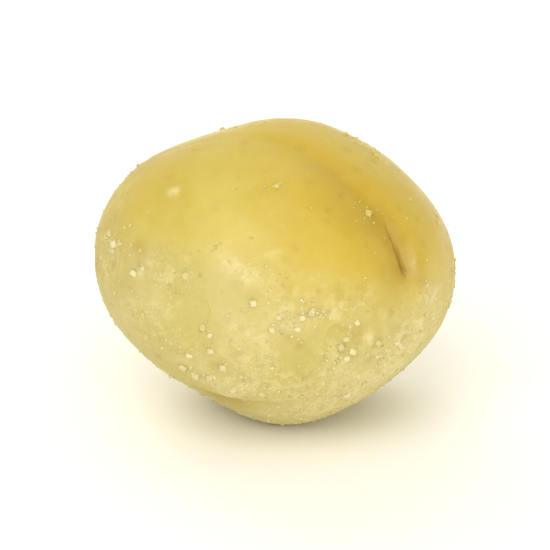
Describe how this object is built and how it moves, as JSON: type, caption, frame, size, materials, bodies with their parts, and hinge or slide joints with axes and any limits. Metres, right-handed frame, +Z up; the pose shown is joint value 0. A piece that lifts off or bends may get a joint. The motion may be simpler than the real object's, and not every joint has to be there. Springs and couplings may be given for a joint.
{
  "type": "macadamia kernel",
  "caption": "Shelled whole macadamia kernel, roasted and salted: a smooth rounded nut with a soft groove and collar at one end, salt crystals on its skin and a small flat resting spot.",
  "frame": {"origin": "on the resting plane, under the middle of the kernel's bounding box", "axes": "+Z up from the flat resting spot, +X to the right as seen from the front, -Y towards the viewer in front, where the smooth dome faces"},
  "size_m": [0.0202, 0.0192, 0.0166],
  "materials": {
    "nut": "pale golden roasted nut, satin with a trace of oil on the smooth dome, dull and dusted with salt elsewhere"
  },
  "bodies": {
    "root": {"kernel": "nut"}
  },
  "joints": []
}
